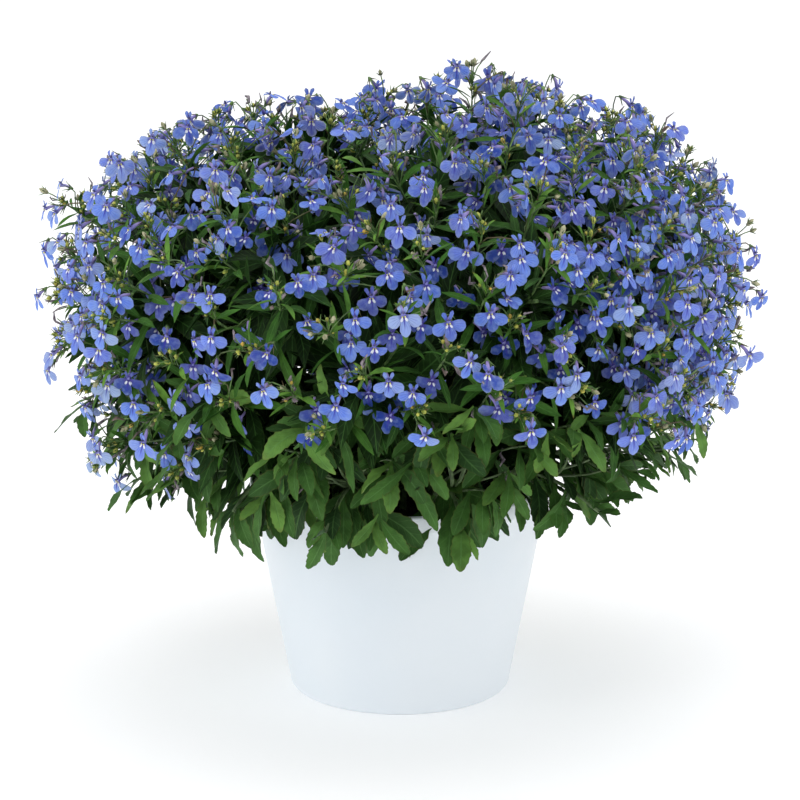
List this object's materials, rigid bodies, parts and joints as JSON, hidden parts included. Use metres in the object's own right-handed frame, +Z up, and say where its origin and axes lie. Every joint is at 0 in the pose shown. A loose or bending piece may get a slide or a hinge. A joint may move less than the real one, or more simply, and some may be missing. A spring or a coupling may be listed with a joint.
{
  "type": "potted trailing lobelia",
  "caption": "Trailing lobelia in a round plastic pot: a dome of thin leafy stems covered in small blue two-lipped blooms, spilling over the rim.",
  "frame": {"origin": "centre of the pot's flat base, on the surface that it stands on", "axes": "+Z up along the pot's axis, -Y towards the front of the plant, +X to the right seen from the front"},
  "size_m": [0.3502, 0.3464, 0.3039],
  "materials": {
    "pot": "smooth satin white plastic",
    "potting_mix": "loose dark brown potting mix",
    "foliage": "soft mid-green leaves and stems with paler midribs",
    "petals": "thin lavender-blue petals with a white eye"
  },
  "bodies": {
    "root": {"pot": "pot", "potting_mix": "potting_mix", "flowering_stem_01": "foliage", "flowering_stem_02": "foliage", "flowering_stem_03": "foliage", "flowering_stem_04": "foliage", "flowering_stem_05": "foliage", "flowering_stem_06": "foliage", "flowering_stem_07": "foliage", "flowering_stem_08": "foliage", "flowering_stem_09": "foliage", "flowering_stem_10": "foliage", "flowering_stem_11": "foliage", "flowering_stem_12": "foliage", "flowering_stem_13": "foliage", "flowering_stem_14": "foliage", "flowering_stem_15": "foliage", "flowering_stem_16": "foliage", "flowering_stem_17": "foliage", "flowering_stem_18": "foliage", "flowering_stem_19": "foliage", "flowering_stem_20": "foliage", "flowering_stem_21": "foliage", "flowering_stem_22": "foliage", "flowering_stem_23": "foliage", "bloom_spray_01": "petals", "bloom_spray_02": "petals", "bloom_spray_03": "petals", "bloom_spray_04": "petals", "bloom_spray_05": "petals", "bloom_spray_06": "petals", "bloom_spray_07": "petals", "bloom_spray_08": "petals", "bloom_spray_09": "petals", "bloom_spray_10": "petals", "bloom_spray_11": "petals", "bloom_spray_12": "petals", "bloom_spray_13": "petals", "bloom_spray_14": "petals", "bloom_spray_15": "petals", "bloom_spray_16": "petals", "bloom_spray_17": "petals", "bloom_spray_18": "petals", "bloom_spray_19": "petals", "bloom_spray_20": "petals", "bloom_spray_21": "petals", "bloom_spray_22": "petals", "bloom_spray_23": "petals", "skirt_stem_01": "foliage", "skirt_stem_02": "foliage", "skirt_stem_03": "foliage", "skirt_stem_04": "foliage", "skirt_stem_05": "foliage", "skirt_stem_06": "foliage", "skirt_stem_07": "foliage", "skirt_stem_08": "foliage", "skirt_stem_09": "foliage", "skirt_stem_10": "foliage", "skirt_stem_11": "foliage", "skirt_stem_12": "foliage"}
  },
  "joints": []
}
